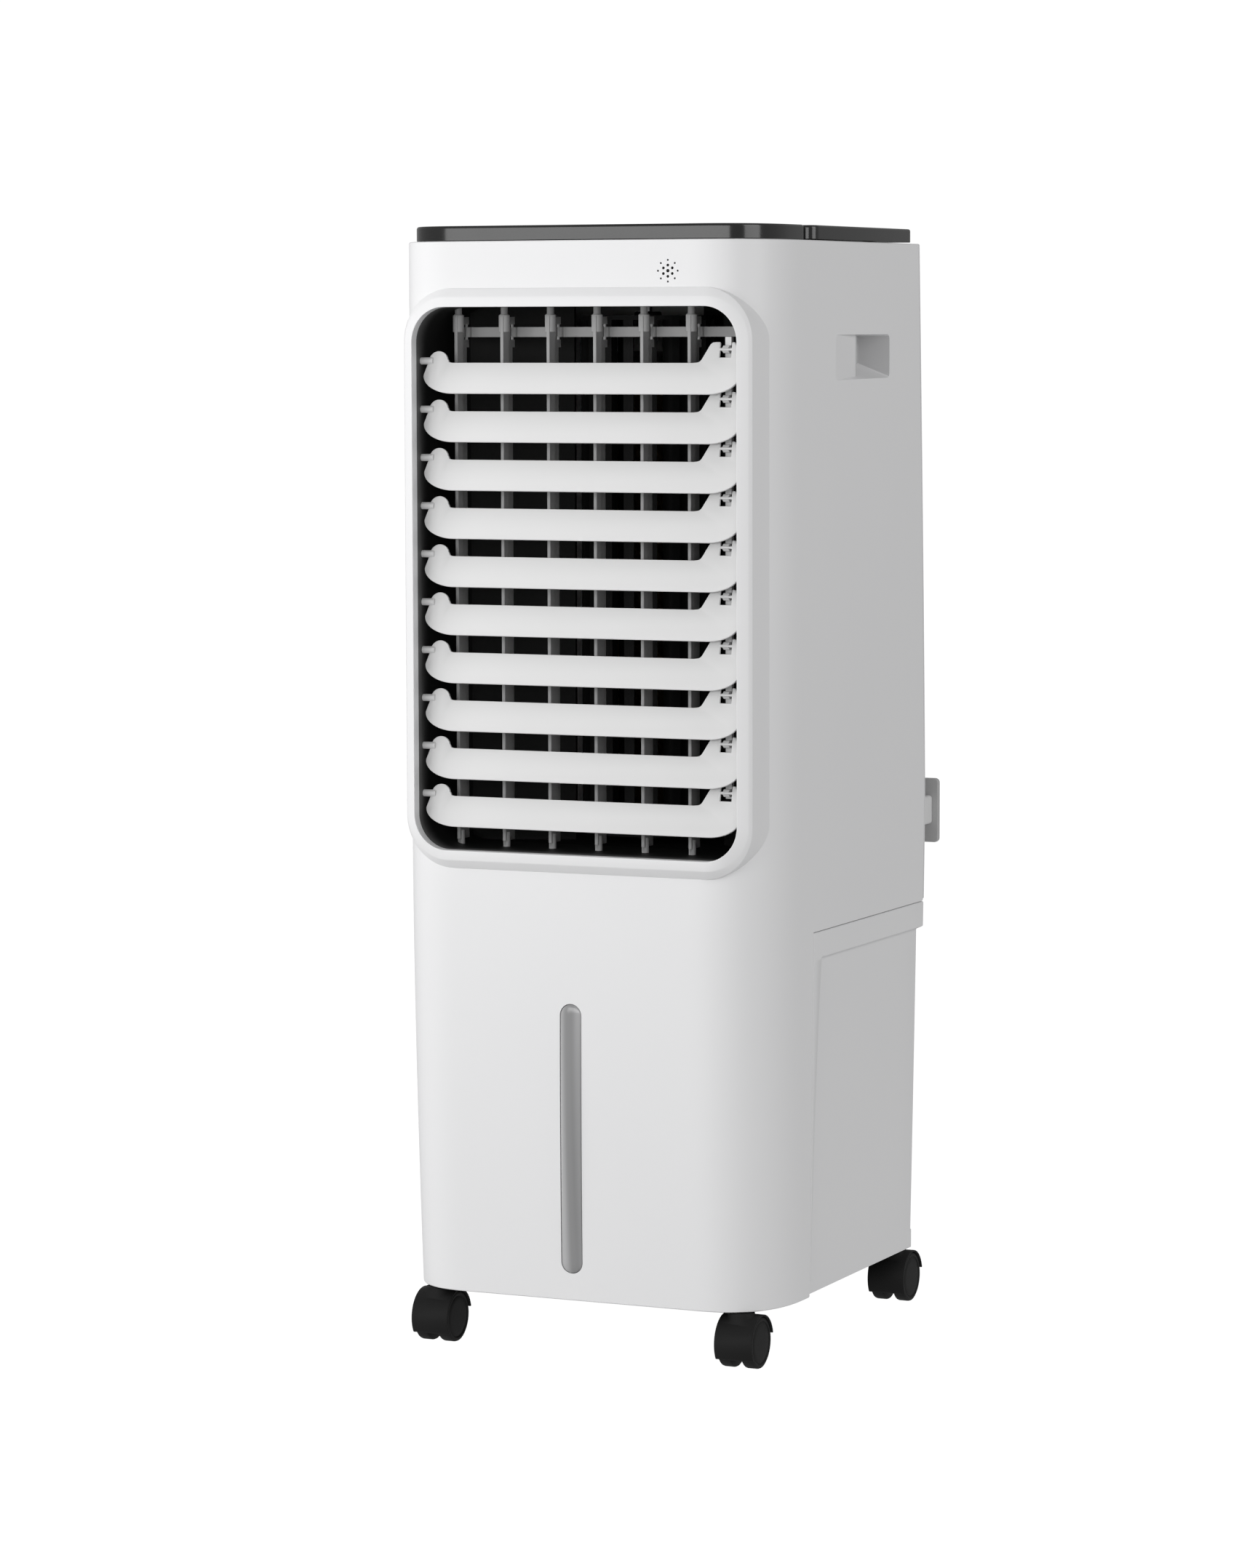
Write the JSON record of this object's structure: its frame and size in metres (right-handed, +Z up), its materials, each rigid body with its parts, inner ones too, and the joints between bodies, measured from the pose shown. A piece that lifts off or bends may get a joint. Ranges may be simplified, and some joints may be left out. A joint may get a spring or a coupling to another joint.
{
  "type": "portable evaporative air cooler",
  "caption": "White tower air cooler on four twin-wheel casters: ten tilting louvers, six swinging vanes, tangential fan, wetted pad and a slide-out water tank.",
  "frame": {"origin": "middle of the footprint box on the floor", "axes": "+Z up, -Y towards the air outlet, +X the cooler's side on a viewer's right who faces the outlet"},
  "size_m": [0.269, 0.3376, 0.745],
  "materials": {
    "shell_white": "moulded satin-gloss",
    "louver_white": "moulded satin",
    "cap_dark": "gloss",
    "caster_black": "moulded satin",
    "black_plastic": "moulded matte",
    "grey_plastic": "moulded matte",
    "clear_plastic": "smoked, clear",
    "pad_cellulose": "corrugated, matte",
    "steel": "satin",
    "circuit_board": "laminate",
    "rubber": "matte"
  },
  "bodies": {
    "body": {"front_casing": "shell_white", "outlet_frame": "shell_white", "back_panel": "shell_white", "base_chassis": "black_plastic", "top_deck": "shell_white", "control_panel": "cap_dark", "lid_hinge_pin_left": "steel", "lid_hinge_pin_right": "steel", "ice_box": "grey_plastic", "level_lens": "clear_plastic", "pump": "black_plastic", "riser_pipe": "clear_plastic", "water_distributor": "grey_plastic", "cooling_pad": "pad_cellulose", "pad_cassette": "shell_white", "dust_filter": "grey_plastic", "blower_motor": "steel", "impeller_bearing": "rubber", "fan_duct": "black_plastic", "swing_motor": "steel", "control_board": "circuit_board", "cord_hook_left": "grey_plastic", "cord_hook_right": "grey_plastic", "cord_gland": "rubber"},
    "tank": {"water_tank": "shell_white", "drain_plug": "grey_plastic"},
    "lid": {"fill_lid": "cap_dark"},
    "tank_catch": {"tank_lock": "grey_plastic"},
    "fan_wheel": {"impeller": "black_plastic"},
    "louver_1": {"louver_1": "louver_white"},
    "louver_2": {"louver_2": "louver_white"},
    "louver_3": {"louver_3": "louver_white"},
    "louver_4": {"louver_4": "louver_white"},
    "louver_5": {"louver_5": "louver_white"},
    "louver_6": {"louver_6": "louver_white"},
    "louver_7": {"louver_7": "louver_white"},
    "louver_8": {"louver_8": "louver_white"},
    "louver_9": {"louver_9": "louver_white"},
    "louver_10": {"louver_10": "louver_white"},
    "louver_bar": {"louver_link": "louver_white"},
    "vane_1": {"vane_1": "louver_white"},
    "vane_2": {"vane_2": "louver_white"},
    "vane_3": {"vane_3": "louver_white"},
    "vane_4": {"vane_4": "louver_white"},
    "vane_5": {"vane_5": "louver_white"},
    "vane_6": {"vane_6": "louver_white"},
    "vane_bar": {"vane_link": "louver_white"},
    "caster_front_left": {"caster_front_left_hood": "caster_black"},
    "caster_front_left_wheel_left": {"caster_front_left_wheel_left": "caster_black"},
    "caster_front_left_wheel_right": {"caster_front_left_wheel_right": "caster_black"},
    "caster_front_right": {"caster_front_right_hood": "caster_black"},
    "caster_front_right_wheel_left": {"caster_front_right_wheel_left": "caster_black"},
    "caster_front_right_wheel_right": {"caster_front_right_wheel_right": "caster_black"},
    "caster_rear_left": {"caster_rear_left_hood": "caster_black"},
    "caster_rear_left_wheel_left": {"caster_rear_left_wheel_left": "caster_black"},
    "caster_rear_left_wheel_right": {"caster_rear_left_wheel_right": "caster_black"},
    "caster_rear_right": {"caster_rear_right_hood": "caster_black"},
    "caster_rear_right_wheel_left": {"caster_rear_right_wheel_left": "caster_black"},
    "caster_rear_right_wheel_right": {"caster_rear_right_wheel_right": "caster_black"}
  },
  "joints": [
    {"name": "tank_slide", "type": "slide", "parent": "body", "child": "tank", "axis": [0, 1, 0], "range_m": [0, 0.14]},
    {"name": "lid_hinge", "type": "hinge", "parent": "body", "child": "lid", "pos_m": [0, 0.10935, 0.739], "axis": [-1, 0, 0], "range_deg": [0, 80]},
    {"name": "catch_turn", "type": "hinge", "parent": "body", "child": "tank_catch", "pos_m": [0, 0.13635, 0.2935], "axis": [0, -1, 0], "range_deg": [-90, 0]},
    {"name": "fan_spin", "type": "hinge", "parent": "body", "child": "fan_wheel", "pos_m": [0, -0.03675, 0.51], "axis": [0, 0, 1], "continuous": true},
    {"name": "louver_tilt_1", "type": "hinge", "parent": "body", "child": "louver_1", "pos_m": [0.0049, -0.15415, 0.6571], "axis": [-1, 0, 0], "range_deg": [-5, 50]},
    {"name": "louver_tilt_2", "type": "hinge", "parent": "body", "child": "louver_2", "pos_m": [0.0049, -0.15415, 0.6254], "axis": [-1, 0, 0], "range_deg": [-5, 50]},
    {"name": "louver_tilt_3", "type": "hinge", "parent": "body", "child": "louver_3", "pos_m": [0.0049, -0.15415, 0.5937], "axis": [-1, 0, 0], "range_deg": [-5, 50]},
    {"name": "louver_tilt_4", "type": "hinge", "parent": "body", "child": "louver_4", "pos_m": [0.0049, -0.15415, 0.562], "axis": [-1, 0, 0], "range_deg": [-5, 50]},
    {"name": "louver_tilt_5", "type": "hinge", "parent": "body", "child": "louver_5", "pos_m": [0.0049, -0.15415, 0.5303], "axis": [-1, 0, 0], "range_deg": [-5, 50]},
    {"name": "louver_tilt_6", "type": "hinge", "parent": "body", "child": "louver_6", "pos_m": [0.0049, -0.15415, 0.4986], "axis": [-1, 0, 0], "range_deg": [-5, 50]},
    {"name": "louver_tilt_7", "type": "hinge", "parent": "body", "child": "louver_7", "pos_m": [0.0049, -0.15415, 0.4669], "axis": [-1, 0, 0], "range_deg": [-5, 50]},
    {"name": "louver_tilt_8", "type": "hinge", "parent": "body", "child": "louver_8", "pos_m": [0.0049, -0.15415, 0.4352], "axis": [-1, 0, 0], "range_deg": [-5, 50]},
    {"name": "louver_tilt_9", "type": "hinge", "parent": "body", "child": "louver_9", "pos_m": [0.0049, -0.15415, 0.4035], "axis": [-1, 0, 0], "range_deg": [-5, 50]},
    {"name": "louver_tilt_10", "type": "hinge", "parent": "body", "child": "louver_10", "pos_m": [0.0049, -0.15415, 0.3718], "axis": [-1, 0, 0], "range_deg": [-5, 50]},
    {"name": "louver_link_pivot", "type": "hinge", "parent": "louver_1", "child": "louver_bar", "pos_m": [0.1069, -0.1527, 0.66456], "axis": [-1, 0, 0], "range_deg": [-50, 5]},
    {"name": "vane_swing_1", "type": "hinge", "parent": "body", "child": "vane_1", "pos_m": [-0.095, -0.13075, 0.514], "axis": [0, 0, 1], "range_deg": [-28, 28]},
    {"name": "vane_swing_2", "type": "hinge", "parent": "body", "child": "vane_2", "pos_m": [-0.0614, -0.13075, 0.514], "axis": [0, 0, 1], "range_deg": [-28, 28]},
    {"name": "vane_swing_3", "type": "hinge", "parent": "body", "child": "vane_3", "pos_m": [-0.0278, -0.13075, 0.514], "axis": [0, 0, 1], "range_deg": [-28, 28]},
    {"name": "vane_swing_4", "type": "hinge", "parent": "body", "child": "vane_4", "pos_m": [0.0058, -0.13075, 0.514], "axis": [0, 0, 1], "range_deg": [-28, 28]},
    {"name": "vane_swing_5", "type": "hinge", "parent": "body", "child": "vane_5", "pos_m": [0.0394, -0.13075, 0.514], "axis": [0, 0, 1], "range_deg": [-28, 28]},
    {"name": "vane_swing_6", "type": "hinge", "parent": "body", "child": "vane_6", "pos_m": [0.073, -0.13075, 0.514], "axis": [0, 0, 1], "range_deg": [-28, 28]},
    {"name": "vane_link_pivot", "type": "hinge", "parent": "vane_1", "child": "vane_bar", "pos_m": [-0.095, -0.11875, 0.6758], "axis": [0, 0, 1], "range_deg": [-28, 28]},
    {"name": "caster_front_left_swivel", "type": "hinge", "parent": "body", "child": "caster_front_left", "pos_m": [-0.1105, -0.13775, 0.04], "axis": [0, 0, 1], "continuous": true},
    {"name": "caster_front_left_roll_left", "type": "hinge", "parent": "caster_front_left", "child": "caster_front_left_wheel_left", "pos_m": [-0.1185, -0.13375, 0.017], "axis": [1, 0, 0], "continuous": true},
    {"name": "caster_front_left_roll_right", "type": "hinge", "parent": "caster_front_left", "child": "caster_front_left_wheel_right", "pos_m": [-0.1025, -0.13375, 0.017], "axis": [1, 0, 0], "continuous": true},
    {"name": "caster_front_right_swivel", "type": "hinge", "parent": "body", "child": "caster_front_right", "pos_m": [0.1105, -0.13775, 0.04], "axis": [0, 0, 1], "continuous": true},
    {"name": "caster_front_right_roll_left", "type": "hinge", "parent": "caster_front_right", "child": "caster_front_right_wheel_left", "pos_m": [0.1025, -0.13375, 0.017], "axis": [1, 0, 0], "continuous": true},
    {"name": "caster_front_right_roll_right", "type": "hinge", "parent": "caster_front_right", "child": "caster_front_right_wheel_right", "pos_m": [0.1185, -0.13375, 0.017], "axis": [1, 0, 0], "continuous": true},
    {"name": "caster_rear_left_swivel", "type": "hinge", "parent": "body", "child": "caster_rear_left", "pos_m": [-0.118, 0.11445, 0.04], "axis": [0, 0, 1], "continuous": true},
    {"name": "caster_rear_left_roll_left", "type": "hinge", "parent": "caster_rear_left", "child": "caster_rear_left_wheel_left", "pos_m": [-0.126, 0.11845, 0.017], "axis": [1, 0, 0], "continuous": true},
    {"name": "caster_rear_left_roll_right", "type": "hinge", "parent": "caster_rear_left", "child": "caster_rear_left_wheel_right", "pos_m": [-0.11, 0.11845, 0.017], "axis": [1, 0, 0], "continuous": true},
    {"name": "caster_rear_right_swivel", "type": "hinge", "parent": "body", "child": "caster_rear_right", "pos_m": [0.118, 0.11445, 0.04], "axis": [0, 0, 1], "continuous": true},
    {"name": "caster_rear_right_roll_left", "type": "hinge", "parent": "caster_rear_right", "child": "caster_rear_right_wheel_left", "pos_m": [0.11, 0.11845, 0.017], "axis": [1, 0, 0], "continuous": true},
    {"name": "caster_rear_right_roll_right", "type": "hinge", "parent": "caster_rear_right", "child": "caster_rear_right_wheel_right", "pos_m": [0.126, 0.11845, 0.017], "axis": [1, 0, 0], "continuous": true}
  ],
  "couplings": [
    {"joint": "louver_tilt_2", "follows": "louver_tilt_1", "ratio": 1},
    {"joint": "louver_tilt_3", "follows": "louver_tilt_1", "ratio": 1},
    {"joint": "louver_tilt_4", "follows": "louver_tilt_1", "ratio": 1},
    {"joint": "louver_tilt_5", "follows": "louver_tilt_1", "ratio": 1},
    {"joint": "louver_tilt_6", "follows": "louver_tilt_1", "ratio": 1},
    {"joint": "louver_tilt_7", "follows": "louver_tilt_1", "ratio": 1},
    {"joint": "louver_tilt_8", "follows": "louver_tilt_1", "ratio": 1},
    {"joint": "louver_tilt_9", "follows": "louver_tilt_1", "ratio": 1},
    {"joint": "louver_tilt_10", "follows": "louver_tilt_1", "ratio": 1},
    {"joint": "louver_link_pivot", "follows": "louver_tilt_1", "ratio": -1},
    {"joint": "vane_swing_2", "follows": "vane_swing_1", "ratio": 1},
    {"joint": "vane_swing_3", "follows": "vane_swing_1", "ratio": 1},
    {"joint": "vane_swing_4", "follows": "vane_swing_1", "ratio": 1},
    {"joint": "vane_swing_5", "follows": "vane_swing_1", "ratio": 1},
    {"joint": "vane_swing_6", "follows": "vane_swing_1", "ratio": 1},
    {"joint": "vane_link_pivot", "follows": "vane_swing_1", "ratio": -1}
  ]
}
